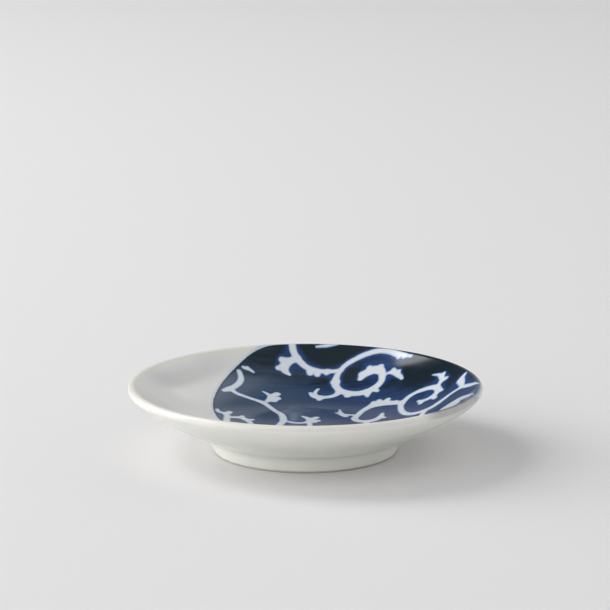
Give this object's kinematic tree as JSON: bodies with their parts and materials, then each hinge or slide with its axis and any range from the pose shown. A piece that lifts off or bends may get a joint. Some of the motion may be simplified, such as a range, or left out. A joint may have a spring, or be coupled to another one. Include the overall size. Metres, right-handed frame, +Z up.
{
  "type": "soy sauce dish",
  "caption": "Round shallow porcelain dish on a foot ring, white glazed, with a blue panel painted with a scrolling vine left white.",
  "frame": {"origin": "middle of the foot's standing face, on the table under the centre of the dish", "axes": "+Z up along the dish's axis, +X to the right and +Y to the back as the dish is seen with the painted panel at its right and back"},
  "size_m": [0.1, 0.1, 0.0194],
  "materials": {
    "porcelain": "fired porcelain body, matt where bare",
    "foot_clay": "bare fired clay, matt and slightly warm, ground smooth where it stands",
    "white_glaze": "clear glossy glaze over white",
    "line_blue": "dark cobalt line under the glossy glaze",
    "dark_blue": "deep cobalt wash under the glossy glaze",
    "pale_blue": "thin cobalt wash under the glossy glaze",
    "reserve_white": "white reserve, faintly blue, under the glossy glaze"
  },
  "bodies": {
    "root": {"porcelain_body": "porcelain", "foot_ring": "foot_clay", "outer_glaze": "white_glaze", "underside_glaze": "white_glaze", "inner_glaze": "white_glaze", "panel_line": "line_blue", "dark_wash": "dark_blue", "pale_wash": "pale_blue", "vine_reserve": "reserve_white"}
  },
  "joints": []
}
